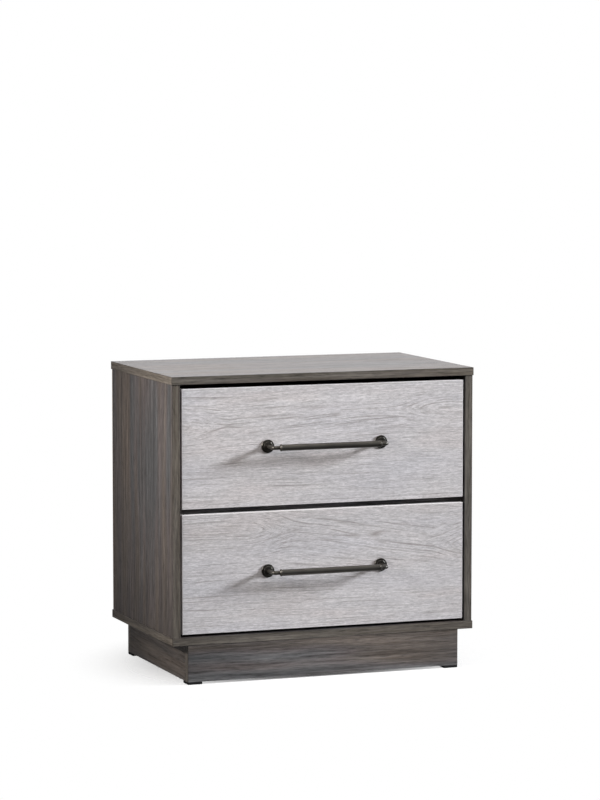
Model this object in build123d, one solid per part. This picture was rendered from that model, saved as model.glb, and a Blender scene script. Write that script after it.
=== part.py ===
"""Two-drawer nightstand on a recessed plinth, as a flat-pack assembly of separate pieces.

Frame: millimetres, +Z up, +X to the right of someone facing the drawers, drawers open towards -Y.
Origin: on the floor, at the centre of the footprint with the handles included.

The top and bottom panels are as wide as the piece and oversail the two side panels by 1.5 mm.
Each drawer is a box of thin boards hung on two full-extension ball-bearing slides: a cabinet rail, a
middle rail that moves half as far as the drawer, a drawer rail, and two ball cages between them.
"""

from build123d import *
import os

# ---- Overall size ---------------------------------------------------------------------------------
WIDTH = 597.0
DEPTH = 368.0  # carcass only, handles stand in front of it
HEIGHT = 568.0
BOARD = 15.0  # every structural board
EDGE_ROUND = 0.8  # softened arris of a banded edge

# ---- Plinth and glides ----------------------------------------------------------------------------
GLIDE_HEIGHT = 5.0
GLIDE_SIZE = 28.0
GLIDE_ROUND = 1.5
GLIDE_CHAMFER = 0.8
GLIDE_PEG_RADIUS = 3.0
GLIDE_PEG_LENGTH = 12.0
PLINTH_HEIGHT = 68.0
PLINTH_INSET = 30.0  # from the left and right edges of the bottom panel
PLINTH_SETBACK = 1.0  # behind the front edge of the bottom panel
PLINTH_BACK_GAP = 6.0
CORNER_BLOCK_LEG = 30.0
CORNER_BLOCK_HEIGHT = 50.0

# ---- Carcass --------------------------------------------------------------------------------------
OVERSAIL = 1.5  # top and bottom panels past the side panels, at left, right and front
BACK_PANEL_THICKNESS = 3.0
BACK_PANEL_RECESS = 1.0
BACK_PANEL_PLAY = 0.5  # above and below
RAIL_DEPTH = 60.0
RAIL_SETBACK = 22.0  # front of the divider rail behind the front of the carcass

# ---- Drawers --------------------------------------------------------------------------------------
FRONT_SETBACK = 3.0
FRONT_SIDE_GAP = 3.5
FRONT_HEIGHT = 221.0
FRONT_ROUND = 1.0
GAP_BELOW_LOWER_FRONT = 5.0
GAP_BETWEEN_FRONTS = 10.0
BOX_BOARD = 12.0
BOX_HEIGHT = 165.0
BOX_LENGTH = 318.0
BOX_RISE = 11.0  # bottom of the box sides above the bottom of the front
BOX_BACK_DROP = 10.0  # top of the back below the top of the sides
BOTTOM_THICKNESS = 3.0
BOTTOM_RISE = 10.0
GROOVE_DEPTH = 6.0

# ---- Slides: offsets run from the carcass side towards the drawer, heights from the slide's middle ---
SLIDE_THICKNESS = 12.7
SLIDE_LENGTH = 300.0
SLIDE_SETBACK = 20.0
SLIDE_SCREW_RADIUS = 1.7
SLIDE_SCREW_HEAD_RADIUS = 3.4
SLIDE_SCREW_HEAD_HEIGHT = 2.0
CARCASS_SCREW_LENGTH = 12.0
CARCASS_SCREW_PLACES = (25.0, 150.0, 275.0)  # from the front end of the slide
BOX_SCREW_LENGTH = 10.0
BOX_SCREW_PLACES = (35.0, 150.0, 265.0)
SHEET = 1.2
SHEET_ROUND = 0.5
CABINET_RAIL_HALF = 22.5
CABINET_RAIL_REACH = 11.3
MIDDLE_RAIL_HALF = 16.1
MIDDLE_RAIL_WEB = 5.2
MIDDLE_RAIL_REACH = 11.5
DRAWER_RAIL_HALF = 10.7
DRAWER_RAIL_TIP = 7.9
LIP = 1.3
OUTER_CAGE = {
    "web": 3.7,
    "thickness": 0.8,
    "tip": 10.0,
    "ear_z": 18.7,
    "ball_offset": 8.0,
    "ball_radius": 2.4,
}
INNER_CAGE = {
    "web": 6.9,
    "thickness": 0.5,
    "tip": 11.0,
    "ear_z": 12.8,
    "ball_offset": 9.5,
    "ball_radius": 1.9,
}
CAGE_START = 77.0
CAGE_LENGTH = 146.0
BALLS_IN_A_ROW = 6
BALL_PITCH = 25.0
BALL_CLEARANCE = 0.2
WINDOW_LENGTH = 26.0
WINDOW_HEIGHT = 12.0

# ---- Handles --------------------------------------------------------------------------------------
HANDLE_CENTRES = 224.0
HANDLE_STANDOFF = 33.0
HANDLE_BAR_RADIUS = 5.9
HANDLE_BAR_LENGTH = 193.0
HANDLE_BAR_CHAMFER = 0.4
HANDLE_ROD_RADIUS = 3.7
HANDLE_BEND = 5.0
COLLAR_RADIUS = 6.6
COLLAR_WIDTH = 2.5
ROSETTE_RADIUS = 12.5
ROSETTE_STEP_RADIUS = 8.6
ROSETTE_HUB_RADIUS = 5.8
ROSETTE_THICKNESS = 6.5
HANDLE_SCREW_RADIUS = 2.0
HANDLE_SCREW_LENGTH = 27.0
HANDLE_SCREW_HEAD_RADIUS = 4.2
HANDLE_SCREW_HEAD_HEIGHT = 2.6
HANDLE_HOLE_RADIUS = 2.2  # through the drawer front and the rosette

# ---- Fittings -------------------------------------------------------------------------------------
HOLE_PLAY = 0.05
CAM_RADIUS = 7.5
CAM_DEPTH = 12.5
CAM_DISTANCE = 24.0  # from the board's end to the cam's centre
CAM_BOLT_RADIUS = 3.5
CAM_BOLT_BITE = 11.0  # into the mating board
DOWEL_RADIUS = 4.0
DOWEL_HALF = 11.0
DOWEL_PITCH = 32.0  # from the cam next to it
JOINT_FROM_FRONT = 50.0  # bolts that join the sides to the top and bottom panels
JOINT_FROM_BACK = 60.0
BOX_CAM_RADIUS = 6.0
BOX_CAM_DEPTH = 9.5
BOX_BOLT_RADIUS = 2.5
BOX_BOLT_BITE = 8.0
BOX_BOLT_BITE_INTO_FRONT = 10.0
FRONT_CAM_RISES = (30.0, 135.0)  # above the bottom of the box sides
BACK_CAM_RISES = (45.0, 125.0)
THROUGH = 30.0  # longer than any fitting that a bolt's hole is cut through
NAIL_RADIUS = 0.7
NAIL_LENGTH = 18.0
NAIL_HEAD_RADIUS = 2.2
NAIL_HEAD_HEIGHT = 0.6
NAIL_PITCH = 58.0
NAILS_PER_SIDE = 8

# ---- Worked-out places ----------------------------------------------------------------------------
HANDLE_REACH = HANDLE_STANDOFF + COLLAR_RADIUS - FRONT_SETBACK
FRONT = HANDLE_REACH - (DEPTH + HANDLE_REACH) / 2
BACK = FRONT + DEPTH
SIDE_OUT = WIDTH / 2 - OVERSAIL
SIDE_IN = SIDE_OUT - BOARD
PLINTH_TOP = GLIDE_HEIGHT + PLINTH_HEIGHT
FLOOR_TOP = PLINTH_TOP + BOARD
TOP_UNDER = HEIGHT - BOARD
SIDE_FRONT = FRONT + OVERSAIL
SIDE_BACK = BACK - BACK_PANEL_RECESS - BACK_PANEL_THICKNESS
LOWER_FRONT_Z = FLOOR_TOP + GAP_BELOW_LOWER_FRONT
UPPER_FRONT_Z = LOWER_FRONT_Z + FRONT_HEIGHT + GAP_BETWEEN_FRONTS
RAIL_MIDDLE = UPPER_FRONT_Z - GAP_BETWEEN_FRONTS / 2
FRONT_HALF = SIDE_IN - FRONT_SIDE_GAP
FRONT_FACE = FRONT + FRONT_SETBACK
BOX_FRONT = FRONT_FACE + BOARD
BOX_BACK = BOX_FRONT + BOX_LENGTH
BOX_OUT = SIDE_IN - SLIDE_THICKNESS
BOX_IN = BOX_OUT - BOX_BOARD
SLIDE_FRONT = FRONT + SLIDE_SETBACK
SLIDE_RISE = BOX_HEIGHT / 2  # middle of the slide above the bottom of the box sides
JOINT_YS = (FRONT + JOINT_FROM_FRONT, BACK - JOINT_FROM_BACK)
DRAWERS = {"upper": UPPER_FRONT_Z, "lower": LOWER_FRONT_Z}

nodes = {}


# ---- Shape helpers --------------------------------------------------------------------------------
def block(x0, x1, y0, y1, z0, z1):
    """A box between two corners."""
    centre = Pos((x0 + x1) / 2, (y0 + y1) / 2, (z0 + z1) / 2)
    return centre * Box(abs(x1 - x0), abs(y1 - y0), abs(z1 - z0))


def board(x0, x1, y0, y1, z0, z1, along, radius=EDGE_ROUND):
    """A box with the edges along the named axes softened."""
    solid = block(x0, x1, y0, y1, z0, z1)
    axes = {"x": Axis.X, "y": Axis.Y, "z": Axis.Z}
    edges = [edge for name in along for edge in solid.edges().filter_by(axes[name])]
    return fillet(edges, radius)


def rod(start, direction, radius, length):
    """A cylinder from start along direction."""
    place = Plane(origin=start, z_dir=direction)
    return place * Cylinder(radius, length, align=(Align.CENTER, Align.CENTER, Align.MIN))


def turned(points):
    """A solid turned about Z from (radius, height) points of its outline."""
    outline = make_face(Plane.XZ * Polyline(*points, close=True))
    return revolve(outline, Axis.Z)


def both_sides(solid):
    """The solid on the left and its mirror image on the right."""
    return [solid, mirror(solid, about=Plane.YZ)]


def cut(solid, tools):
    """The solid with every tool taken out of it."""
    for tool in tools:
        solid = solid - tool
    return solid


def keep(name, solids):
    """Registers a node, as one solid or as a group of separate solids."""
    parts = solids if isinstance(solids, list) else [solids]
    loose = [solid for part in parts for solid in part.solids()]
    nodes[name] = loose[0] if len(loose) == 1 else Compound(children=loose)


def cross_recess(size, depth):
    """A driver's cross, cut downwards from z = 0 into a head that faces -Z."""
    arm = size / 4
    return Pos(0, 0, depth / 2) * (Box(size, arm, depth) + Box(arm, size, depth))


# ---- Fasteners, each made once about Z with the driven end pointing along +Z -----------------------
def pan_screw(shank, length, head, head_height):
    """A pan-head screw whose head seats on z = 0."""
    tip = 2 * shank
    body = turned(
        [
            (0, -head_height),
            (0.6 * head, -head_height),
            (head, -0.45 * head_height),
            (head, 0),
            (shank, 0),
            (shank, length - tip),
            (0.3 * shank, length),
            (0, length),
        ]
    )
    return body - Pos(0, 0, -head_height) * cross_recess(1.1 * head, 0.5 * head_height)


def nail(shank, length, head, head_height):
    """A flat-head nail whose head seats on z = 0."""
    return turned(
        [
            (0, -head_height),
            (head, -head_height),
            (head, 0),
            (shank, 0),
            (shank, length - 2),
            (0, length),
        ]
    )


def cam_lock(radius, depth):
    """A cam disc that lies in its pocket from z = 0 down to z = depth."""
    disc = turned([(0, 0), (radius - 0.6, 0), (radius, 0.6), (radius, depth), (0, depth)])
    return disc - cross_recess(1.1 * radius, 0.25 * depth)


def cam_bolt(radius, length):
    """A cam bolt along Z: a grooved head in the cam, a plain shaft and a collar at the mating board."""
    neck = 0.6 * radius
    return turned(
        [
            (0, 0),
            (0.8 * radius, 0),
            (0.8 * radius, 2),
            (neck, 3),
            (neck, 7),
            (radius, 8),
            (radius, length),
            (0, length),
        ]
    )


def placed(solid, start, direction):
    """The Z-wise solid moved so that its origin is at start and its Z runs along direction."""
    return Plane(origin=start, z_dir=direction) * solid


# ---- Carcass --------------------------------------------------------------------------------------
def carcass_fittings():
    """Cam locks, cam bolts and dowels that join the sides to the top, the bottom and the rail."""
    lock = cam_lock(CAM_RADIUS, CAM_DEPTH)
    bolt = cam_bolt(CAM_BOLT_RADIUS, CAM_DISTANCE + CAM_BOLT_BITE)
    middle = SIDE_IN + BOARD / 2
    locks, bolts, dowels, pockets = [], [], [], []

    def join(cam_at, face_out, bolt_at, bolt_way, dowel_at):
        inward = Vector(*face_out) * -1
        cam = placed(lock, cam_at, inward) - rod(bolt_at, bolt_way, CAM_BOLT_RADIUS, THROUGH)
        locks.extend(both_sides(cam))
        bolts.extend(both_sides(placed(bolt, bolt_at, bolt_way)))
        start = Vector(*dowel_at) - Vector(*bolt_way) * DOWEL_HALF
        dowels.extend(both_sides(rod(start, bolt_way, DOWEL_RADIUS, 2 * DOWEL_HALF)))
        pockets.extend(both_sides(rod(cam_at, inward, CAM_RADIUS + HOLE_PLAY, CAM_DEPTH + HOLE_PLAY)))
        bolt_length = CAM_DISTANCE + CAM_BOLT_BITE + HOLE_PLAY
        pockets.extend(both_sides(rod(bolt_at, bolt_way, CAM_BOLT_RADIUS + HOLE_PLAY, bolt_length)))
        pockets.extend(both_sides(rod(start, bolt_way, DOWEL_RADIUS + HOLE_PLAY, 2 * DOWEL_HALF)))

    for y in JOINT_YS:
        inner = DOWEL_PITCH if y < 0 else -DOWEL_PITCH
        for board_z, way in ((TOP_UNDER, 1), (FLOOR_TOP, -1)):
            cam_z = board_z - way * CAM_DISTANCE
            join(
                cam_at=(-SIDE_IN, y, cam_z),
                face_out=(1, 0, 0),
                bolt_at=(-middle, y, cam_z),
                bolt_way=(0, 0, way),
                dowel_at=(-middle, y + inner, board_z),
            )
    rail_y = FRONT + RAIL_SETBACK + RAIL_DEPTH / 4
    cam_x = -(SIDE_IN - CAM_DISTANCE)
    join(
        cam_at=(cam_x, rail_y, RAIL_MIDDLE - BOARD / 2),
        face_out=(0, 0, -1),
        bolt_at=(cam_x, rail_y, RAIL_MIDDLE),
        bolt_way=(-1, 0, 0),
        dowel_at=(-SIDE_IN, rail_y + DOWEL_PITCH, RAIL_MIDDLE),
    )
    keep("carcass_cam_locks", locks)
    keep("carcass_cam_bolts", bolts)
    keep("carcass_dowels", dowels)
    return pockets


def back_nails():
    """Nails through the back panel into the rear edges of the sides, and their holes."""
    one = nail(NAIL_RADIUS, NAIL_LENGTH, NAIL_HEAD_RADIUS, NAIL_HEAD_HEIGHT)
    middle = (FLOOR_TOP + TOP_UNDER) / 2
    nails, holes = [], []
    for i in range(NAILS_PER_SIDE):
        z = middle + (i - (NAILS_PER_SIDE - 1) / 2) * NAIL_PITCH
        start = (-(SIDE_IN + BOARD / 2), BACK - BACK_PANEL_RECESS, z)
        nails.extend(both_sides(placed(one, start, (0, -1, 0))))
        holes.extend(both_sides(rod(start, (0, -1, 0), NAIL_RADIUS + HOLE_PLAY, NAIL_LENGTH)))
    keep("back_panel_nails", nails)
    return holes


def carcass(slide_holes):
    pockets = carcass_fittings()
    nail_holes = back_nails()
    half = WIDTH / 2
    keep("top_panel", cut(board(-half, half, FRONT, BACK, TOP_UNDER, HEIGHT, "xyz"), pockets))
    keep("bottom_panel", cut(board(-half, half, FRONT, BACK, PLINTH_TOP, FLOOR_TOP, "xyz"), pockets))
    side = board(-SIDE_OUT, -SIDE_IN, SIDE_FRONT, SIDE_BACK, FLOOR_TOP, TOP_UNDER, "z")
    left, right = both_sides(side)
    tools = pockets + nail_holes + slide_holes
    keep("left_side_panel", cut(left, [tool for tool in tools if tool.bounding_box().max.X < 0]))
    keep("right_side_panel", cut(right, [tool for tool in tools if tool.bounding_box().min.X > 0]))
    back = block(
        -SIDE_OUT + BACK_PANEL_PLAY,
        SIDE_OUT - BACK_PANEL_PLAY,
        SIDE_BACK,
        BACK - BACK_PANEL_RECESS,
        FLOOR_TOP + BACK_PANEL_PLAY,
        TOP_UNDER - BACK_PANEL_PLAY,
    )
    keep("back_panel", cut(back, nail_holes))
    rail_front = FRONT + RAIL_SETBACK
    rail = board(
        -SIDE_IN,
        SIDE_IN,
        rail_front,
        rail_front + RAIL_DEPTH,
        RAIL_MIDDLE - BOARD / 2,
        RAIL_MIDDLE + BOARD / 2,
        "x",
    )
    keep("drawer_rail", cut(rail, pockets))


# ---- Plinth and feet ------------------------------------------------------------------------------
def glide(x_way, y_way, x, y):
    """A square glide under the plinth corner at (x, y), with a peg into the board above.

    The ways are 1 or -1 and point inwards. Also gives the hole for the peg.
    """
    pad = block(x, x + x_way * GLIDE_SIZE, y, y + y_way * GLIDE_SIZE, 0, GLIDE_HEIGHT)
    pad = fillet(pad.edges().filter_by(Axis.Z), GLIDE_ROUND)
    pad = chamfer(pad.faces().sort_by(Axis.Z)[0].edges(), GLIDE_CHAMFER)
    peg_at = (x + x_way * BOARD / 2, y + y_way * BOARD / 2, GLIDE_HEIGHT)
    peg = rod(peg_at, (0, 0, 1), GLIDE_PEG_RADIUS, GLIDE_PEG_LENGTH)
    hole = rod(peg_at, (0, 0, 1), GLIDE_PEG_RADIUS + HOLE_PLAY, GLIDE_PEG_LENGTH + HOLE_PLAY)
    return pad + peg, hole


def corner_block(x_way, y_way, x, y):
    """A triangular glue block in the plinth's inner corner at (x, y); ways point inwards."""
    corner = Polyline(
        (x, y),
        (x + x_way * CORNER_BLOCK_LEG, y),
        (x, y + y_way * CORNER_BLOCK_LEG),
        close=True,
    )
    triangle = make_face(Pos(0, 0, PLINTH_TOP - CORNER_BLOCK_HEIGHT) * corner)
    return extrude(triangle, CORNER_BLOCK_HEIGHT, dir=(0, 0, 1))


def plinth():
    half = WIDTH / 2 - PLINTH_INSET
    front = FRONT + PLINTH_SETBACK
    back = BACK - PLINTH_BACK_GAP
    holes, blocks = [], []
    for name_y, y_way, y, inner_y in (
        ("front", 1, front, front + BOARD),
        ("back", -1, back, back - BOARD),
    ):
        for name_x, x_way, x in (("left", 1, -half), ("right", -1, half)):
            foot, hole = glide(x_way, y_way, x, y)
            keep(f"foot_glide_{name_y}_{name_x}", foot)
            holes.append(hole)
            blocks.append(corner_block(x_way, y_way, x + x_way * BOARD, inner_y))
    keep("plinth_corner_blocks", blocks)
    low, high = GLIDE_HEIGHT, PLINTH_TOP
    keep("plinth_front", cut(board(-half, half, front, front + BOARD, low, high, "z"), holes))
    keep("plinth_back", cut(board(-half, half, back - BOARD, back, low, high, "z"), holes))
    side = block(-half, -half + BOARD, front + BOARD, back - BOARD, low, high)
    left, right = both_sides(side)
    keep("plinth_left", left)
    keep("plinth_right", right)


# ---- Slides ---------------------------------------------------------------------------------------
def slide_bar(outline, middle_z, start=0.0, length=SLIDE_LENGTH, radius=SHEET_ROUND):
    """A left-hand slide member from its (offset, height) outline, run along Y."""
    points = [(-SIDE_IN + offset, middle_z + height) for offset, height in outline]
    face = make_face(Polyline(*points, close=True))
    face = fillet(face.vertices(), radius)
    profile = Plane(origin=(0, SLIDE_FRONT + start, 0), x_dir=(1, 0, 0), z_dir=(0, -1, 0)) * face
    return extrude(profile, length, dir=(0, 1, 0))


def channel(web, tip, half, lip_way=0):
    """Outline of a C channel: web at offset web, flanges to offset tip, with lips in or out at the tips."""
    way = 1 if tip > web else -1
    inside = web + way * SHEET
    lower = [(web, -half), (tip, -half), (tip, -half + SHEET), (inside, -half + SHEET)]
    if lip_way:
        lip_in = tip - way * SHEET
        reach = half - SHEET - LIP if lip_way < 0 else half + LIP
        if lip_way < 0:
            lower = [(web, -half), (tip, -half), (tip, -reach), (lip_in, -reach)]
            lower += [(lip_in, -half + SHEET), (inside, -half + SHEET)]
        else:
            lower = [(web, -half), (lip_in, -half), (lip_in, -reach), (tip, -reach)]
            lower += [(tip, -half + SHEET), (inside, -half + SHEET)]
    upper = [(offset, -height) for offset, height in reversed(lower)]
    return lower + upper


def ball_cage(middle_z, web, thickness, tip, ear_z, ball_offset, ball_radius):
    """A cage strip with two ears, and its two rows of balls."""
    outer = ear_z + thickness / 2
    inner = ear_z - thickness / 2
    lower = [(web, -outer), (tip, -outer), (tip, -inner), (web + thickness, -inner)]
    upper = [(offset, -height) for offset, height in reversed(lower)]
    cage = slide_bar(lower + upper, middle_z, CAGE_START, CAGE_LENGTH, 0.4 * thickness)
    first = CAGE_START + (CAGE_LENGTH - (BALLS_IN_A_ROW - 1) * BALL_PITCH) / 2
    balls = []
    for row in (-ear_z, ear_z):
        for i in range(BALLS_IN_A_ROW):
            centre = (-SIDE_IN + ball_offset, SLIDE_FRONT + first + i * BALL_PITCH, middle_z + row)
            hole_start = (centre[0], centre[1], centre[2] - thickness)
            cage = cage - rod(hole_start, (0, 0, 1), ball_radius + BALL_CLEARANCE, 2 * thickness)
            balls.append(Pos(*centre) * Sphere(ball_radius))
    return [cage] + balls


def slides(name, front_z):
    """All slide members of one drawer. Gives the holes for its carcass screws and its box screws."""
    middle_z = front_z + BOX_RISE + SLIDE_RISE
    cabinet_web = -SIDE_IN + SHEET
    drawer_web = -SIDE_IN + SLIDE_THICKNESS - SHEET
    head = (SLIDE_SCREW_HEAD_RADIUS, SLIDE_SCREW_HEAD_HEIGHT)
    carcass_screw = pan_screw(SLIDE_SCREW_RADIUS, CARCASS_SCREW_LENGTH, *head)
    box_screw = pan_screw(SLIDE_SCREW_RADIUS, BOX_SCREW_LENGTH, *head)
    hole_radius = SLIDE_SCREW_RADIUS + HOLE_PLAY
    cabinet = slide_bar(channel(0, CABINET_RAIL_REACH, CABINET_RAIL_HALF, -1), middle_z)
    middle = slide_bar(channel(MIDDLE_RAIL_WEB, MIDDLE_RAIL_REACH, MIDDLE_RAIL_HALF, 1), middle_z)
    drawer = slide_bar(channel(SLIDE_THICKNESS, DRAWER_RAIL_TIP, DRAWER_RAIL_HALF), middle_z)
    carcass_screws, box_screws, carcass_holes, box_holes = [], [], [], []
    for along in CARCASS_SCREW_PLACES:
        y = SLIDE_FRONT + along
        window = block(-SIDE_IN, 0, y - WINDOW_LENGTH / 2, y + WINDOW_LENGTH / 2, 0, WINDOW_HEIGHT)
        window = fillet(window.edges().filter_by(Axis.X), 0.4 * WINDOW_HEIGHT)
        middle = middle - Pos(0, 0, middle_z - WINDOW_HEIGHT / 2) * window
        seat = (cabinet_web, y, middle_z)
        carcass_holes.extend(both_sides(rod(seat, (-1, 0, 0), hole_radius, CARCASS_SCREW_LENGTH)))
        cabinet = cabinet - rod(seat, (-1, 0, 0), hole_radius, 2 * SHEET)
        carcass_screws.extend(both_sides(placed(carcass_screw, seat, (-1, 0, 0))))
    for along in BOX_SCREW_PLACES:
        seat = (drawer_web, SLIDE_FRONT + along, middle_z)
        box_holes.extend(both_sides(rod(seat, (1, 0, 0), hole_radius, BOX_SCREW_LENGTH)))
        drawer = drawer - rod(seat, (1, 0, 0), hole_radius, 2 * SHEET)
        box_screws.extend(both_sides(placed(box_screw, seat, (1, 0, 0))))
    for member, solid in (("cabinet", cabinet), ("middle", middle), ("drawer", drawer)):
        for side, copy in zip(("left", "right"), both_sides(solid)):
            keep(f"{name}_{side}_slide_{member}_rail", copy)
    outer = ball_cage(middle_z, **OUTER_CAGE)
    inner = ball_cage(middle_z, **INNER_CAGE)
    keep(f"{name}_slide_outer_ball_cages", [copy for solid in outer for copy in both_sides(solid)])
    keep(f"{name}_slide_inner_ball_cages", [copy for solid in inner for copy in both_sides(solid)])
    keep(f"{name}_slide_box_screws", box_screws)
    return carcass_screws, carcass_holes, box_holes


# ---- Drawer boxes ---------------------------------------------------------------------------------
def box_fittings(name, box_z):
    """Cam locks and bolts at the four corners of a drawer box, and their pockets."""
    lock = cam_lock(BOX_CAM_RADIUS, BOX_CAM_DEPTH)
    middle = BOX_IN + BOX_BOARD / 2
    fittings, pockets = [], []

    def join(cam_at, inward, bolt_at, bolt_way, bite):
        length = CAM_DISTANCE + bite
        bolt = placed(cam_bolt(BOX_BOLT_RADIUS, length), bolt_at, bolt_way)
        cam = placed(lock, cam_at, inward) - rod(bolt_at, bolt_way, BOX_BOLT_RADIUS, THROUGH)
        fittings.extend(both_sides(cam) + both_sides(bolt))
        pocket = rod(cam_at, inward, BOX_CAM_RADIUS + HOLE_PLAY, BOX_CAM_DEPTH + HOLE_PLAY)
        bore = rod(bolt_at, bolt_way, BOX_BOLT_RADIUS + HOLE_PLAY, length + HOLE_PLAY)
        pockets.extend(both_sides(pocket) + both_sides(bore))

    for rise in FRONT_CAM_RISES:
        z = box_z + rise
        y = BOX_FRONT + CAM_DISTANCE
        join((-BOX_OUT, y, z), (1, 0, 0), (-middle, y, z), (0, -1, 0), BOX_BOLT_BITE_INTO_FRONT)
    for rise in BACK_CAM_RISES:
        z = box_z + rise
        x = -(BOX_IN - CAM_DISTANCE)
        join((x, BOX_BACK, z), (0, -1, 0), (x, BOX_BACK - BOX_BOARD / 2, z), (-1, 0, 0), BOX_BOLT_BITE)
    keep(f"{name}_drawer_cam_fittings", fittings)
    return pockets


def drawer(name, front_z, box_holes):
    box_z = front_z + BOX_RISE
    bottom_z = box_z + BOTTOM_RISE
    pockets = box_fittings(name, box_z)
    bottom = block(
        -BOX_IN - GROOVE_DEPTH,
        BOX_IN + GROOVE_DEPTH,
        BOX_FRONT - GROOVE_DEPTH,
        BOX_BACK,
        bottom_z,
        bottom_z + BOTTOM_THICKNESS,
    )
    keep(f"{name}_drawer_bottom", bottom)
    front = board(
        -FRONT_HALF,
        FRONT_HALF,
        FRONT_FACE,
        BOX_FRONT,
        front_z,
        front_z + FRONT_HEIGHT,
        "xyz",
        FRONT_ROUND,
    )
    handle_z = front_z + FRONT_HEIGHT / 2
    screw_hole = rod((-HANDLE_CENTRES / 2, BOX_FRONT, handle_z), (0, -1, 0), HANDLE_HOLE_RADIUS, BOARD)
    keep(f"{name}_drawer_front", cut(front, pockets + both_sides(screw_hole) + [bottom]))
    side = board(-BOX_OUT, -BOX_IN, BOX_FRONT, BOX_BACK, box_z, box_z + BOX_HEIGHT, "y")
    left, right = both_sides(side)
    tools = pockets + box_holes
    keep(
        f"{name}_drawer_left_side",
        cut(left, [tool for tool in tools if tool.bounding_box().max.X < 0] + [bottom]),
    )
    keep(
        f"{name}_drawer_right_side",
        cut(right, [tool for tool in tools if tool.bounding_box().min.X > 0] + [bottom]),
    )
    back = board(
        -BOX_IN,
        BOX_IN,
        BOX_BACK - BOX_BOARD,
        BOX_BACK,
        bottom_z + BOTTOM_THICKNESS,
        box_z + BOX_HEIGHT - BOX_BACK_DROP,
        "x",
    )
    keep(f"{name}_drawer_back", cut(back, pockets))


# ---- Handles --------------------------------------------------------------------------------------
def rosette():
    """A stepped disc that faces +Z, with a clearance hole for the screw."""
    bore = HANDLE_HOLE_RADIUS
    return turned(
        [
            (bore, 0),
            (ROSETTE_RADIUS - 0.4, 0),
            (ROSETTE_RADIUS, 0.5),
            (ROSETTE_RADIUS, 1.9),
            (ROSETTE_RADIUS - 0.7, 2.7),
            (ROSETTE_STEP_RADIUS + 0.6, 3.0),
            (ROSETTE_STEP_RADIUS, 3.3),
            (ROSETTE_STEP_RADIUS, 4.5),
            (ROSETTE_STEP_RADIUS - 0.5, 5.0),
            (ROSETTE_HUB_RADIUS, 5.2),
            (ROSETTE_HUB_RADIUS - 0.4, ROSETTE_THICKNESS),
            (bore, ROSETTE_THICKNESS),
        ]
    )


def collar():
    """The raised ring at the end of the bar, turned about Z."""
    chamfer_size = 0.6
    return turned(
        [
            (0, 0),
            (COLLAR_RADIUS - chamfer_size, 0),
            (COLLAR_RADIUS, chamfer_size),
            (COLLAR_RADIUS, COLLAR_WIDTH - chamfer_size),
            (COLLAR_RADIUS - chamfer_size, COLLAR_WIDTH),
            (HANDLE_ROD_RADIUS + 0.8, COLLAR_WIDTH + 0.8),
            (HANDLE_ROD_RADIUS, COLLAR_WIDTH + 1.6),
            (0, COLLAR_WIDTH + 1.6),
        ]
    )


def handle(name, front_z):
    middle_z = front_z + FRONT_HEIGHT / 2
    post_x = -HANDLE_CENTRES / 2
    post_base = FRONT_FACE - ROSETTE_THICKNESS
    bar_y = FRONT_FACE - HANDLE_STANDOFF
    bar_end = -HANDLE_BAR_LENGTH / 2
    path = FilletPolyline(
        (post_x, post_base, middle_z),
        (post_x, bar_y, middle_z),
        (bar_end - COLLAR_WIDTH, bar_y, middle_z),
        radius=HANDLE_BEND,
    )
    section = Plane(origin=path @ 0, z_dir=path % 0) * Circle(HANDLE_ROD_RADIUS)
    screw_start = (post_x, BOX_FRONT, middle_z)
    post = sweep(section, path=path) + placed(collar(), (bar_end, bar_y, middle_z), (-1, 0, 0))
    post = post - rod(screw_start, (0, -1, 0), HANDLE_SCREW_RADIUS + HOLE_PLAY, HANDLE_SCREW_LENGTH + 1)
    for side, copy in zip(("left", "right"), both_sides(post)):
        keep(f"{name}_handle_{side}_post", copy)
    disc = placed(rosette(), (post_x, FRONT_FACE, middle_z), (0, -1, 0))
    keep(f"{name}_handle_rosettes", both_sides(disc))
    bar = rod((bar_end, bar_y, middle_z), (1, 0, 0), HANDLE_BAR_RADIUS, HANDLE_BAR_LENGTH)
    keep(f"{name}_handle_bar", chamfer(bar.edges().filter_by(GeomType.CIRCLE), HANDLE_BAR_CHAMFER))
    head = (HANDLE_SCREW_HEAD_RADIUS, HANDLE_SCREW_HEAD_HEIGHT)
    screw = pan_screw(HANDLE_SCREW_RADIUS, HANDLE_SCREW_LENGTH, *head)
    keep(f"{name}_handle_screws", both_sides(placed(screw, screw_start, (0, -1, 0))))


# ---- The whole piece ------------------------------------------------------------------------------
def main():
    all_screws, all_holes = [], []
    for name, front_z in DRAWERS.items():
        screws, holes, box_holes = slides(name, front_z)
        all_screws += screws
        all_holes += holes
        drawer(name, front_z, box_holes)
        handle(name, front_z)
    keep("cabinet_slide_screws", all_screws)
    carcass(all_holes)
    plinth()
    os.makedirs("parts", exist_ok=True)
    for name, shape in nodes.items():
        export_step(shape, f"parts/{name}.step")


main()
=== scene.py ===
"""Looks of the two-drawer nightstand: banded laminate boards, dark bronze handles, steel slides.

Everything is in metres in the row frame: +Z up, the drawers open towards -Y. The prints of the boards are
laid out in millimetres, and the functions and headings say where.
"""

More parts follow.
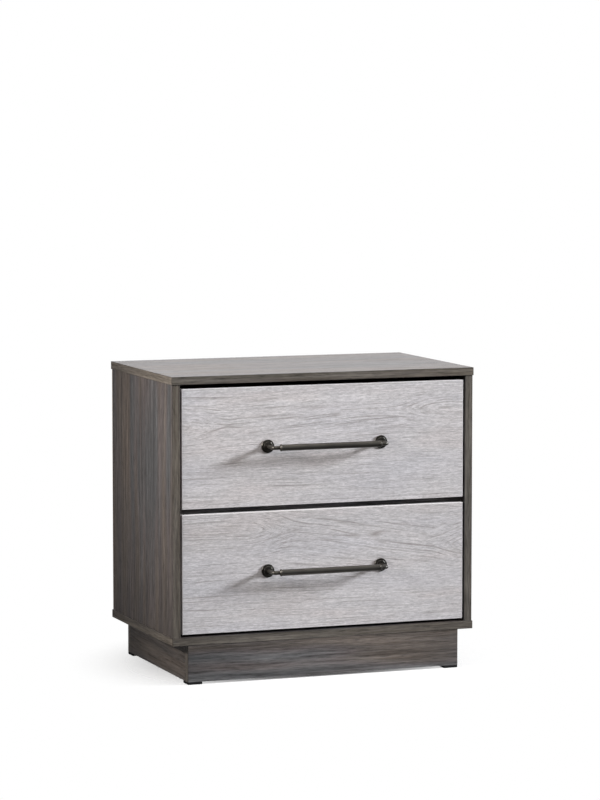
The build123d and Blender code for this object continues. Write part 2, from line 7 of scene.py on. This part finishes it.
import bmesh
import bpy
import math
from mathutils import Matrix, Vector


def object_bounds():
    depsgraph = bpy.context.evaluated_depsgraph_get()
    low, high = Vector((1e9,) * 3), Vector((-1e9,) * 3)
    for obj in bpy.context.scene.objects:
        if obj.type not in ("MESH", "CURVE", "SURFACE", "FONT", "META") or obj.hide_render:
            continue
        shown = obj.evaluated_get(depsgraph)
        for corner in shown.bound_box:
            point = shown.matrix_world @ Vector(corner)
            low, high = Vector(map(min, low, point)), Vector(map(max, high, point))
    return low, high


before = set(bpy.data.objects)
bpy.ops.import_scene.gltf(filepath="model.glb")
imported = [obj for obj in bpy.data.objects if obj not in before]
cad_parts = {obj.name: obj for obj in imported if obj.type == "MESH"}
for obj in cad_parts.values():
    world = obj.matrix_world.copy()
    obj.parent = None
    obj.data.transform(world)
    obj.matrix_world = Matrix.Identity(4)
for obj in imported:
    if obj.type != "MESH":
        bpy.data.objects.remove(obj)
cad_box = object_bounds()
object_middle = (cad_box[0] + cad_box[1]) / 2

MM = 0.001
WHITE = (1.0, 1.0, 1.0)
ROWS = ("upper", "lower")

# ---- Directions: degrees to the right of the front (-Y), and above the horizon ---------------------
VIEW_AZIMUTH, VIEW_ELEVATION = -20.45, 7.42
KEY_AZIMUTH, KEY_ELEVATION = 70.0, 18.2
FILL_AZIMUTH, FILL_ELEVATION = -8.0, 25.0
BACKDROP_AZIMUTH, BACKDROP_ELEVATION = 160.0, 8.0

# ---- Camera ----------------------------------------------------------------------------------------
VIEW_DISTANCE = 6.471
LENS_MM = 153.3
AIM_RIGHT = 0.0118  # the camera aims beside and above the middle of the object
AIM_UP = 0.2166
CLIP_END = 100.0

# ---- Lights: sizes and places in metres, powers in watts -------------------------------------------
COOL = (0.93, 0.96, 1.0)
WARM = (1.0, 0.95, 0.91)
KEY_DISTANCE = 12.0
KEY_SIZE = (3.0, 1.9)
KEY_POWER = 2650.0
FILL_DISTANCE = 4.0
FILL_SIZE = (3.0, 2.0)
FILL_POWER = 26.0
OVERHEAD_PLACE = (0.2, -0.7, 2.4)
OVERHEAD_SIZE = (1.8, 1.0)
OVERHEAD_POWER = 17.0
SIDE_LIGHT_PLACE = (-2.2, -0.35, 1.25)
SIDE_LIGHT_AIM = (-0.3, -0.25, 0.51)
SIDE_LIGHT_CONE = math.radians(31)
SIDE_LIGHT_RADIUS = 0.25
SIDE_LIGHT_POWER = 330.0

# ---- Surroundings and floor ------------------------------------------------------------------------
SKY_COLOUR = (1.0, 0.98, 0.985)
SKY_BASE = 0.05  # brightness of the surroundings all round
SKY_UP = 0.1  # added towards the zenith
BACKDROP = 1.55  # added towards the backdrop, which the top reflects
BACKDROP_TIGHTNESS = 12.0
FLOOR_RADIUS = 0.5
FLOOR_SEGMENTS = 96
FLOOR_FADE = (0.08, 0.44)  # distances from the middle where the floor starts to fade and is gone
FLOOR_ROUGHNESS = 0.8


def linear(red, green, blue):
    """Linear colour from a 0 to 255 sRGB one."""

    def one(value):
        value = value / 255
        return value / 12.92 if value <= 0.04045 else ((value + 0.055) / 1.055) ** 2.4

    return one(red), one(green), one(blue)


# ---- Shader graph helpers --------------------------------------------------------------------------
NOISE_SPAN = (0.3, 0.7)  # most of a noise lies in this range


class Graph:
    """A node tree that is built by short calls. Sockets and plain values are both accepted."""

    def __init__(self, tree):
        self.tree = tree

    def make(self, kind, **settings):
        node = self.tree.nodes.new(kind)
        for key, value in settings.items():
            setattr(node, key, value)
        return node

    def feed(self, socket, value):
        if isinstance(value, bpy.types.NodeSocket):
            self.tree.links.new(value, socket)
        elif socket.type == "RGBA":
            socket.default_value = (*value, 1.0)
        else:
            socket.default_value = value

    def math(self, operation, a, b=0.0, c=0.0):
        node = self.make("ShaderNodeMath", operation=operation)
        for socket, value in zip(node.inputs, (a, b, c)):
            self.feed(socket, value)
        return node.outputs[0]

    def vector_math(self, operation, a, b=(0.0, 0.0, 0.0)):
        node = self.make("ShaderNodeVectorMath", operation=operation)
        self.feed(node.inputs[0], a)
        self.feed(node.inputs[1], b)
        return node.outputs

    def parts(self, vector):
        node = self.make("ShaderNodeSeparateXYZ")
        self.feed(node.inputs[0], vector)
        return node.outputs

    def vector(self, x, y, z):
        node = self.make("ShaderNodeCombineXYZ")
        for socket, value in zip(node.inputs, (x, y, z)):
            self.feed(socket, value)
        return node.outputs[0]

    def noise(self, vector, scale=1.0, detail=2.0, roughness=0.5, distortion=0.0):
        node = self.make("ShaderNodeTexNoise")
        for key, value in (
            ("Vector", vector),
            ("Scale", scale),
            ("Detail", detail),
            ("Roughness", roughness),
            ("Distortion", distortion),
        ):
            self.feed(node.inputs[key], value)
        return node.outputs["Fac"]

    def around(self, noise, amount, middle=1.0):
        """A factor that follows a noise. Its mean is middle, and from noise 0 to 1 it grows by amount."""
        return self.math("MULTIPLY_ADD", noise, amount, middle - amount / 2)

    def between(self, value, low, high, to_low=0.0, to_high=1.0, shape="LINEAR"):
        """Maps low..high to to_low..to_high and clamps."""
        node = self.make("ShaderNodeMapRange", clamp=True, interpolation_type=shape)
        for socket, part in zip(node.inputs, (value, low, high, to_low, to_high)):
            self.feed(socket, part)
        return node.outputs[0]

    def spread(self, noise, to_low, to_high):
        """Maps the range that most of a noise lies in to to_low..to_high."""
        return self.between(noise, *NOISE_SPAN, to_low, to_high)

    def ramp(self, value, stops):
        """Colour (or grey) by value. stops are (position, colour), and a plain number is a grey."""
        node = self.make("ShaderNodeValToRGB")
        self.feed(node.inputs[0], value)
        elements = node.color_ramp.elements
        while len(elements) < len(stops):
            elements.new(0.5)
        for element, (position, colour) in zip(elements, stops):
            element.position = position
            grey = isinstance(colour, (int, float))
            element.color = (colour, colour, colour, 1.0) if grey else (*colour, 1.0)
        return node.outputs[0]

    def blend(self, factor, a, b, kind="MIX", data="RGBA"):
        """a where the factor is 0. Where it is 1, b, or what another kind makes of a and b."""
        node = self.make("ShaderNodeMix", data_type=data, blend_type=kind)
        ends = [socket for socket in node.inputs if socket.type == data][-2:]
        self.feed(node.inputs[0], factor)
        self.feed(ends[0], a)
        self.feed(ends[1], b)
        return [socket for socket in node.outputs if socket.type == data][0]

    def tint(self, colour, target, where, strength):
        """The colour moved towards a target one, where a mask is 1, by a strength."""
        return self.blend(self.math("MULTIPLY", where, strength), colour, target)

    def shaded(self, colour, *factors):
        """The colour times every factor."""
        product = factors[0]
        for factor in factors[1:]:
            product = self.math("MULTIPLY", product, factor)
        return self.blend(1.0, colour, self.vector(product, product, product), "MULTIPLY")

    def mix_shaders(self, factor, a, b):
        node = self.make("ShaderNodeMixShader")
        for socket, value in zip(node.inputs, (factor, a, b)):
            self.feed(socket, value)
        return node.outputs[0]


class Look(Graph):
    """The graph of a material, with its shader, the object place and the object normal at hand."""

    def __init__(self, name):
        self.material = bpy.data.materials.new(name)
        self.material.use_nodes = True
        super().__init__(self.material.node_tree)
        self.shader = self.tree.nodes["Principled BSDF"]
        coordinates = self.make("ShaderNodeTexCoord").outputs
        self.place = coordinates["Object"]
        self.normal = coordinates["Normal"]

    def bump(self, height, distance, strength):
        node = self.make("ShaderNodeBump")
        self.feed(node.inputs["Height"], height)
        self.feed(node.inputs["Distance"], distance)
        self.feed(node.inputs["Strength"], strength)
        return node.outputs[0]

    def finish(self, colour, roughness, normal=None, **constants):
        self.feed(self.shader.inputs["Base Color"], colour)
        self.feed(self.shader.inputs["Roughness"], roughness)
        if normal is not None:
            self.feed(self.shader.inputs["Normal"], normal)
        for key, value in constants.items():
            self.shader.inputs[key.replace("_", " ")].default_value = value
        return self.material


# ---- Grain -----------------------------------------------------------------------------------------
SEED_STRIDE = 3000.0  # millimetres along the grain from one board's print to the next
SQUARELY = 0.6  # a face looks along an axis when its normal has more than this along it
FLAT, ROUNDED = 0.985, 0.92  # the largest part of the normal on a flat face, and on a rounded edge


def looks_along(g, axis):
    """How squarely a face looks along an axis, 0 to 1."""
    return g.math("ABSOLUTE", g.parts(g.normal)["xyz".index(axis)])


def arris(g):
    """1 on the rounded edges of a board, 0 on its flat faces."""
    looks = [g.math("ABSOLUTE", part) for part in g.parts(g.normal)]
    largest = g.math("MAXIMUM", g.math("MAXIMUM", looks[0], looks[1]), looks[2])
    return g.between(largest, FLAT, ROUNDED)


def grain_space(g, along, end_along, seed):
    """Object place in millimetres as (along the grain, across it, the other way across).

    Faces that look along the grain are edge bands, whose own grain runs along end_along. Also gives the
    place as separate axes, and 1 on those end faces.
    """
    at = {axis: g.math("MULTIPLY", part, 1 / MM) for axis, part in zip("xyz", g.parts(g.place))}

    def ordered(first):
        rest = [axis for axis in "xyz" if axis != first]
        moved = g.math("ADD", at[first], SEED_STRIDE * seed)
        return g.vector(moved, at[rest[0]], at[rest[1]])

    is_end = g.math("GREATER_THAN", looks_along(g, along), SQUARELY)
    return g.blend(is_end, ordered(along), ordered(end_along), data="VECTOR"), at, is_end


def grain_noise(g, space, length, width, detail=2.0, roughness=0.5):
    """Noise whose cells are length millimetres along the grain and width across it."""
    cells = g.vector_math("DIVIDE", space, (length, width, width))["Vector"]
    return g.noise(cells, detail=detail, roughness=roughness)


# ---- Dark print of the carcass ---------------------------------------------------------------------
SMOKED_TONES = [  # (value of the drift, colour)
    (0.34, linear(75, 75, 76)),  # slate
    (0.43, linear(79, 76, 76)),
    (0.50, linear(83, 77, 76)),  # mauve
    (0.57, linear(85, 79, 75)),
    (0.66, linear(90, 82, 76)),  # tan
]
EDGE_BAND = linear(93, 87, 78)
DARK_PORE = linear(42, 38, 35)
# painted shade: the rounded edges of the carcass boards are darkened where they turn away from the light
ARRIS_SHADE = linear(42, 39, 37)
WANDER = 14.0  # millimetres that the grain strays across the board
END_LIFT = 1.2  # how many times lighter the ends of the grain are


def smoked_laminate(name, along, end_along, face, seed):
    """Dark grey-brown oak print: slate, mauve and tan drifts, soft bands, fine streaks and pores.

    face is the axis that the big faces look along. The narrow faces are edge bands, lighter and more tan,
    and their rounded edges are painted dark, a painted shade where they turn away from the light.
    """
    g = Look(name)
    straight, _, is_end = grain_space(g, along, end_along, seed)
    wander = g.around(grain_noise(g, straight, 300, 90, detail=1.0), WANDER, middle=0.0)
    space = g.vector_math("ADD", straight, g.vector(0.0, wander, wander))["Vector"]
    drift = grain_noise(g, space, 420, 36, detail=1.0)
    bands = grain_noise(g, space, 330, 13, roughness=0.6)
    streaks = grain_noise(g, space, 120, 4.5, roughness=0.6)
    lines = grain_noise(g, space, 26, 1.5, detail=3.0, roughness=0.7)
    pores = g.between(lines, 0.42, 0.34)
    is_edge = g.math("LESS_THAN", looks_along(g, face), SQUARELY)
    tone = g.tint(g.ramp(drift, SMOKED_TONES), EDGE_BAND, is_edge, strength=0.7)
    depths = (
        g.between(is_end, 0.0, 1.0, 1.0, END_LIFT),
        g.around(bands, 1.3),
        g.around(streaks, 0.9),
        g.around(lines, 2.6),
    )
    colour = g.shaded(tone, *depths)
    colour = g.tint(colour, DARK_PORE, pores, strength=0.45)
    # painted shade on the rounded edges
    colour = g.tint(colour, ARRIS_SHADE, arris(g), strength=0.9)
    reflecting = g.between(streaks, 0.35, 0.65, 0.15, 0.85)
    g.feed(g.shader.inputs["Specular IOR Level"], reflecting)
    roughness = g.math("ADD", g.around(bands, 0.12, middle=0.38), g.math("MULTIPLY", pores, 0.08))
    relief = g.math("SUBTRACT", lines, g.math("MULTIPLY", pores, 0.5))
    return g.finish(colour, roughness, g.bump(relief, distance=0.0003, strength=0.4))


# ---- Pale print of the drawer fronts: lengths in millimetres ---------------------------------------
KNOTS = {"upper": ((-240, 474), (195, 494)), "lower": ((-108, 282), (262, 236))}  # (x, z) places
KNOT_LENGTH = 110.0  # how far along X a knot opens or closes the arches
ARCH_DEPTH = {"upper": 18.0, "lower": 27.0}  # how wide the arches grow between the knots
ARCH_FADE = 3.0  # the arches are gone at this many depths from the heart line
ARCH_ROUNDING = 12.0  # square millimetres that round the crests of the arches
HEART_REACH = (20.0, 130.0)  # distances where the heart line starts to lose its hold, and has none
RING_SPACING = 8.0
RING_DRIFT = 5.0  # rings that a line of the arches strays across, as the grain runs on
RING_LINE = 0.18  # half the width of a ring's line, as a share of the spacing
RING_ZONE = (1.8, 0.4)  # depths from the heart line where the rings start to show, and are full
WAVE = 13.0  # how far the grain strays up and down
SIDE_SHIFT = 14.0  # keeps the lines above the heart line different from those below it
SIDE_REACH = 2.0  # depths from the heart line where that shift is whole
FLOW_STRIDE = 900.0  # from one front's lines to the next one's
FIRST_SEED = 11  # the upper front's, and the lower front has the next one
FALLOFF_LIGHTNESS = {"upper": 1.055, "lower": 1.0}  # of each front as a whole; painted light: the upper front is lighter, as if the light falls off downwards
LIMED_TONES = [  # (value of the clouds, colour)
    (0.34, linear(190, 188, 191)),
    (0.46, linear(192, 189, 191)),
    (0.56, linear(193, 190, 191)),
    (0.68, linear(193, 188, 188)),
]
GRAIN_INK = linear(122, 113, 108)
LINE_INK = 0.75  # strength of the plain lines, where the arches have 1
# painted highlight where light catches the rounded edges and the rim of the fronts
EDGE_HIGHLIGHT = linear(236, 234, 234)
RIM_WIDTH = 2.0
RIM_CORE = 0.6  # from the outline to here the rim is at full strength
RIM_STRENGTH = 0.55  # strength of the painted highlight on the rim, where an arris has 1


def rim(g, at, node):
    """Where the painted highlight goes: 1 along the outline of a front that looks along Y, and 0 from
    RIM_WIDTH in.
    """
    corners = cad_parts[node].bound_box
    gaps = []
    for axis, i in (("x", 0), ("z", 2)):
        low, high = (pick(corner[i] for corner in corners) / MM for pick in (min, max))
        from_middle = g.math("ABSOLUTE", g.math("SUBTRACT", at[axis], (low + high) / 2))
        gaps.append(g.math("SUBTRACT", (high - low) / 2, from_middle))
    return g.between(g.math("MINIMUM", *gaps), RIM_WIDTH, RIM_CORE)


def arches(g, at, knots, depth, wave):
    """The distance from a heart line, bent so that lines of equal distance close into chevrons.

    The heart line runs from knot to knot, and only bends the grain near it. The chevrons point away from
    the first knot and close in again on the second. Also gives the plain signed height above the line.
    """
    (x0, z0), (x1, z1) = knots
    rise = (z1 - z0) / 2
    above = g.math("ADD", g.math("SUBTRACT", at["z"], (z0 + z1) / 2), wave)
    near = g.between(g.math("ABSOLUTE", above), *HEART_REACH, 1.0, 0.0, "SMOOTHSTEP")
    climb = g.math("MULTIPLY", g.between(at["x"], x0, x1, -rise, rise, "SMOOTHSTEP"), near)
    height = g.math("SUBTRACT", above, climb)
    away = g.math("ABSOLUTE", height)
    reach = KNOT_LENGTH / 2
    opened = g.between(at["x"], x0 - reach, x0 + reach, 0.0, depth, "SMOOTHSTEP")
    closed = g.between(at["x"], x1 - reach, x1 + reach, 0.0, depth, "SMOOTHSTEP")
    fade = g.between(away, 0.0, ARCH_FADE * depth, 1.0, 0.0, "SMOOTHSTEP")
    opening = g.math("MULTIPLY", g.math("SUBTRACT", opened, closed), fade)
    rounded = g.math("SQRT", g.math("ADD", g.math("POWER", away, 2.0), ARCH_ROUNDING))
    return g.math("ADD", rounded, opening), height


def whitewashed_laminate(row):
    """Pale limed oak print with its grain along X: fine lines that close into arches round two knots.

    Far from the knots the grain runs straight. The edges and a thin rim of the face carry a painted
    highlight, where light catches them.
    """
    g = Look(f"whitewashed_{row}")
    seed = FIRST_SEED + ROWS.index(row)
    depth = ARCH_DEPTH[row]
    space, at, _ = grain_space(g, "x", "z", seed)
    wave = g.around(grain_noise(g, space, 260, 90, detail=1.0), WAVE, middle=0.0)
    ring, height = arches(g, at, KNOTS[row], depth, wave)
    far = SIDE_REACH * depth
    side = g.between(height, -far, far, -SIDE_SHIFT, SIDE_SHIFT)
    flow = g.vector(g.math("ADD", at["x"], FLOW_STRIDE * seed), ring, side)
    lines = grain_noise(g, flow, 150, 1.7, roughness=0.55)
    streaks = grain_noise(g, flow, 28, 1.1, detail=3.0, roughness=0.7)
    bands = grain_noise(g, flow, 380, 16)
    clouds = grain_noise(g, space, 240, 50)
    fibres = grain_noise(g, space, 8, 1.5, roughness=0.75)
    depths = (
        g.around(lines, 0.4, middle=FALLOFF_LIGHTNESS[row]),
        g.around(streaks, 0.85),
        g.around(bands, 0.15),
        g.around(fibres, 1.2),
    )
    colour = g.shaded(g.ramp(clouds, LIMED_TONES), *depths)

    drifting = g.around(grain_noise(g, flow, 260, 24, detail=1.0), RING_DRIFT, middle=0.0)
    rings = g.math("FRACT", g.math("MULTIPLY_ADD", ring, 1.0 / RING_SPACING, drifting))
    crest = g.between(g.math("ABSOLUTE", g.math("SUBTRACT", rings, 0.5)), RING_LINE, 0.0)
    close = g.between(g.math("ABSOLUTE", height), *(depth * share for share in RING_ZONE))
    patchy = g.between(grain_noise(g, flow, 60, 6), 0.40, 0.58)
    crest = g.math("MULTIPLY", crest, g.math("MULTIPLY", close, patchy))
    ink = g.math("MAXIMUM", g.between(lines, 0.40, 0.33, 0.0, LINE_INK), crest)
    colour = g.tint(colour, GRAIN_INK, ink, strength=0.6)

    # painted highlight along the edges and a thin rim of the face
    rim_highlight = g.math("MULTIPLY", rim(g, at, f"{row}_drawer_front"), RIM_STRENGTH)
    colour = g.tint(colour, EDGE_HIGHLIGHT, g.math("MAXIMUM", arris(g), rim_highlight), strength=0.8)
    roughness = g.math("ADD", g.around(bands, 0.1, middle=0.46), g.math("MULTIPLY", ink, 0.1))
    relief = g.math("SUBTRACT", fibres, g.math("MULTIPLY", ink, 0.6))
    return g.finish(colour, roughness, g.bump(relief, distance=0.0004, strength=0.45))


# ---- Hidden boards and wood ------------------------------------------------------------------------
def foil_board(name, along, seed):
    """Paper-foil drawer board: pale warm grey with a faint linear print."""
    g = Look(name)
    space, _, _ = grain_space(g, along, "z" if along != "z" else "y", seed)
    bands = grain_noise(g, space, 300, 14, detail=3.0)
    streaks = grain_noise(g, space, 70, 1.6, roughness=0.6)
    tone = g.ramp(bands, [(0.35, linear(168, 163, 156)), (0.65, linear(186, 181, 174))])
    colour = g.shaded(tone, g.spread(streaks, 0.92, 1.05))
    colour = g.tint(colour, linear(200, 196, 190), arris(g), strength=0.4)
    normal = g.bump(streaks, distance=0.00008, strength=0.25)
    return g.finish(colour, g.spread(streaks, 0.5, 0.62), normal)


def hardboard(name):
    """Pressed fibre sheet: brown, mottled, with short fibres and a smooth side."""
    g = Look(name)
    clouds = g.noise(g.place, scale=18.0, detail=3.0)
    fibres = g.noise(g.place, scale=420.0, detail=4.0, roughness=0.7, distortion=1.6)
    tone = g.ramp(clouds, [(0.3, linear(124, 95, 69)), (0.7, linear(138, 107, 79))])
    specks = g.between(fibres, 0.38, 0.30)
    colour = g.tint(tone, linear(78, 56, 40), specks, strength=0.5)
    normal = g.bump(fibres, distance=0.00015, strength=0.4)
    return g.finish(colour, g.spread(fibres, 0.5, 0.7), normal)


def bare_wood(name, light, dark, along):
    """Sawn softwood or beech, with open grain."""
    g = Look(name)
    space, _, _ = grain_space(g, along, "y" if along != "y" else "z", 1)
    rings = grain_noise(g, space, 120, 4)
    fibres = grain_noise(g, space, 14, 0.5, roughness=0.7)
    tone = g.ramp(rings, [(0.38, linear(*dark)), (0.62, linear(*light))])
    colour = g.shaded(tone, g.spread(fibres, 0.86, 1.06))
    normal = g.bump(fibres, distance=0.0002, strength=0.5)
    return g.finish(colour, g.spread(fibres, 0.62, 0.8), normal)


# ---- Metals and plastic ----------------------------------------------------------------------------
CLOUDING = 16  # how much darker cloudy zinc is, of 255


def bronze(name, lightness, metallic, roughness):
    """Dark oil-rubbed bronze: black brown with faint mottling."""
    g = Look(name)
    mottle = g.noise(g.place, scale=700.0, detail=3.0, roughness=0.6)
    drift = g.noise(g.place, scale=26.0)
    tone = g.ramp(drift, [(0.35, linear(80, 77, 73)), (0.65, linear(90, 87, 81))])
    colour = g.shaded(tone, g.around(mottle, 0.25, middle=lightness))
    normal = g.bump(mottle, distance=0.00001, strength=0.15)
    return g.finish(colour, g.around(drift, 0.12, middle=roughness), normal, Metallic=metallic)


def zinc_steel(name, along, base):
    """Zinc-plated steel: rolled streaks, cloudy plating."""
    g = Look(name)
    space, _, _ = grain_space(g, along, "z", 2)
    streaks = grain_noise(g, space, 60, 0.5, roughness=0.6)
    clouds = g.noise(g.place, scale=60.0, detail=3.0)
    cloudy = linear(*(part - CLOUDING for part in base))
    tone = g.ramp(clouds, [(0.35, cloudy), (0.65, linear(*base))])
    colour = g.shaded(tone, g.spread(streaks, 0.9, 1.06))
    normal = g.bump(streaks, distance=0.00002, strength=0.2)
    return g.finish(colour, g.spread(streaks, 0.36, 0.5), normal, Metallic=0.7)


def black_plastic(name):
    """Moulded black plastic with a fine spark-eroded texture."""
    g = Look(name)
    grit = g.noise(g.place, scale=2200.0, roughness=0.6)
    scuffs = g.noise(g.place, scale=90.0, detail=4.0, roughness=0.7)
    scuffed = g.between(scuffs, 0.55, 0.75)
    colour = g.tint(linear(20, 20, 21), linear(52, 50, 49), scuffed, strength=0.4)
    normal = g.bump(grit, distance=0.00004, strength=0.4)
    return g.finish(colour, g.spread(grit, 0.5, 0.7), normal, Specular_IOR_Level=0.15)


# ---- Materials of the carried-over nodes -----------------------------------------------------------
GRAIN = {  # node: grain axis, grain axis of its end bands, axis that its big faces look along
    "top_panel": ("x", "y", "z"),
    "bottom_panel": ("x", "y", "z"),
    "left_side_panel": ("z", "y", "x"),
    "right_side_panel": ("z", "y", "x"),
    "drawer_rail": ("x", "y", "y"),
    "plinth_front": ("x", "z", "y"),
    "plinth_back": ("x", "z", "y"),
    "plinth_left": ("y", "z", "x"),
    "plinth_right": ("y", "z", "x"),
}


def dress(node, material):
    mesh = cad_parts[node].data
    mesh.materials.clear()
    mesh.materials.append(material)


def dress_all():
    for seed, (node, axes) in enumerate(GRAIN.items(), start=1):
        dress(node, smoked_laminate(f"smoked_{node}", *axes, seed))
    side_board = foil_board("foil_sides", "y", 3)
    back_board = foil_board("foil_back", "x", 4)
    fibre = hardboard("hardboard")
    pine = bare_wood("pine", (196, 160, 116), (170, 130, 88), "z")
    beech = bare_wood("beech", (206, 170, 128), (186, 148, 106), "z")
    steel = zinc_steel("slide_steel", "y", (186, 188, 190))
    fitting = zinc_steel("fitting_zinc", "z", (196, 194, 188))
    plastic = black_plastic("glide_plastic")
    # Two copies of one bronze: the bars' and posts' copy is lighter, a painted reflection of the pale
    # floor below, and the rosettes' copy is darker, a painted shade
    bar_bronze_lit = bronze("bronze_painted_reflection", lightness=0.62, metallic=0.6, roughness=0.36)
    rosette_bronze_shaded = bronze("bronze_painted_shade", lightness=0.5, metallic=0.8, roughness=0.3)
    for row in ROWS:
        dress(f"{row}_drawer_front", whitewashed_laminate(row))
    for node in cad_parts:
        if node in GRAIN or node.endswith("_drawer_front"):
            continue
        if node.endswith(("_drawer_left_side", "_drawer_right_side")):
            dress(node, side_board)
        elif node.endswith("_drawer_back"):
            dress(node, back_board)
        elif node.endswith("_drawer_bottom") or node == "back_panel":
            dress(node, fibre)
        elif "slide" in node and "screws" not in node:
            dress(node, steel)
        elif node.endswith("_handle_rosettes"):
            dress(node, rosette_bronze_shaded)
        elif node.endswith(("_handle_bar", "_post")):
            dress(node, bar_bronze_lit)
        elif node.startswith("foot_glide"):
            dress(node, plastic)
        elif node == "plinth_corner_blocks":
            dress(node, pine)
        elif node == "carcass_dowels":
            dress(node, beech)
        else:
            dress(node, fitting)


# ---- Stage -----------------------------------------------------------------------------------------
def towards(azimuth, elevation):
    """Unit vector for a direction in degrees to the right of the front and above the horizon."""
    a, e = math.radians(azimuth), math.radians(elevation)
    return Vector((math.sin(a) * math.cos(e), -math.cos(a) * math.cos(e), math.sin(e)))


def set_up(name, data, place, aim):
    """Puts a camera or a light at a place, looking at the aim."""
    thing = bpy.data.objects.new(name, data)
    bpy.context.scene.collection.objects.link(thing)
    thing.location = place
    thing.rotation_euler = (Vector(aim) - thing.location).to_track_quat("-Z", "Y").to_euler()
    return thing


def add_camera():
    back = towards(VIEW_AZIMUTH, VIEW_ELEVATION)
    right = towards(VIEW_AZIMUTH + 90.0, 0.0)
    up = back.cross(right)
    aim = object_middle + right * AIM_RIGHT + up * AIM_UP
    camera = set_up("camera", bpy.data.cameras.new("camera"), object_middle + back * VIEW_DISTANCE, aim)
    camera.data.lens = LENS_MM
    camera.data.clip_end = CLIP_END
    bpy.context.scene.camera = camera


def add_softbox(name, place, size, power, colour):
    """A rectangular light that looks at the middle of the object."""
    light = bpy.data.lights.new(name, "AREA")
    light.shape = "RECTANGLE"
    light.size, light.size_y = size
    light.energy = power
    light.color = colour
    set_up(name, light, place, object_middle)


def add_side_light():
    """A soft spot on the upper front corner of the left side, so that the side darkens to the back."""
    light = bpy.data.lights.new("side_light", "SPOT")
    light.energy = SIDE_LIGHT_POWER
    light.shadow_soft_size = SIDE_LIGHT_RADIUS
    light.spot_size = SIDE_LIGHT_CONE
    light.spot_blend = 1.0
    light.color = WARM
    set_up("side_light", light, SIDE_LIGHT_PLACE, SIDE_LIGHT_AIM)


def add_lights():
    key_place = object_middle + towards(KEY_AZIMUTH, KEY_ELEVATION) * KEY_DISTANCE
    fill_place = object_middle + towards(FILL_AZIMUTH, FILL_ELEVATION) * FILL_DISTANCE
    add_softbox("key", key_place, KEY_SIZE, KEY_POWER, COOL)
    add_softbox("fill", fill_place, FILL_SIZE, FILL_POWER, WARM)
    add_softbox("overhead", OVERHEAD_PLACE, OVERHEAD_SIZE, OVERHEAD_POWER, WARM)
    add_side_light()


def add_surroundings():
    """White to look at, and a soft studio to be lit by: a bright backdrop, and brighter above."""
    world = bpy.data.worlds.new("studio")
    bpy.context.scene.world = world
    world.use_nodes = True
    g = Graph(world.node_tree)
    g.tree.nodes.clear()
    way = g.make("ShaderNodeTexCoord").outputs["Generated"]
    backdrop_way = towards(BACKDROP_AZIMUTH, BACKDROP_ELEVATION)
    facing = g.vector_math("DOT_PRODUCT", way, backdrop_way)["Value"]
    lobe = g.math("POWER", g.math("MAXIMUM", facing, 0.0), BACKDROP_TIGHTNESS)
    above = g.math("MAXIMUM", g.parts(way)[2], 0.0)
    strength = g.math("ADD", SKY_BASE, g.math("MULTIPLY", lobe, BACKDROP))
    strength = g.math("ADD", strength, g.math("MULTIPLY", above, SKY_UP))
    lighting = g.make("ShaderNodeBackground")
    g.feed(lighting.inputs["Strength"], strength)
    g.feed(lighting.inputs["Color"], SKY_COLOUR)
    seen = g.make("ShaderNodeBackground")
    g.feed(seen.inputs["Color"], WHITE)
    is_seen = g.make("ShaderNodeLightPath").outputs["Is Camera Ray"]
    surface = g.mix_shaders(is_seen, lighting.outputs[0], seen.outputs[0])
    g.feed(g.make("ShaderNodeOutputWorld").inputs[0], surface)


def add_floor():
    """A pale disc that fades out into the white surroundings."""
    mesh = bpy.data.meshes.new("floor")
    disc = bmesh.new()
    bmesh.ops.create_circle(disc, cap_ends=True, radius=FLOOR_RADIUS, segments=FLOOR_SEGMENTS)
    disc.to_mesh(mesh)
    disc.free()
    floor = bpy.data.objects.new("floor", mesh)
    bpy.context.scene.collection.objects.link(floor)
    g = Look("pale_floor")
    from_middle = g.vector_math("LENGTH", g.place)["Value"]
    fade = g.between(from_middle, *FLOOR_FADE, 0.0, 1.0, "SMOOTHSTEP")
    mottle = g.noise(g.place, scale=6.0, detail=3.0)
    g.finish(g.ramp(mottle, [(0.3, 0.93), (0.7, 0.96)]), FLOOR_ROUGHNESS)
    clear = g.make("ShaderNodeBsdfTransparent").outputs[0]
    surface = g.mix_shaders(fade, g.shader.outputs[0], clear)
    g.feed(g.tree.nodes["Material Output"].inputs["Surface"], surface)
    floor.data.materials.append(g.material)


add_camera()
add_surroundings()
add_floor()
add_lights()
bpy.context.scene.view_settings.view_transform = "Standard"
dress_all()
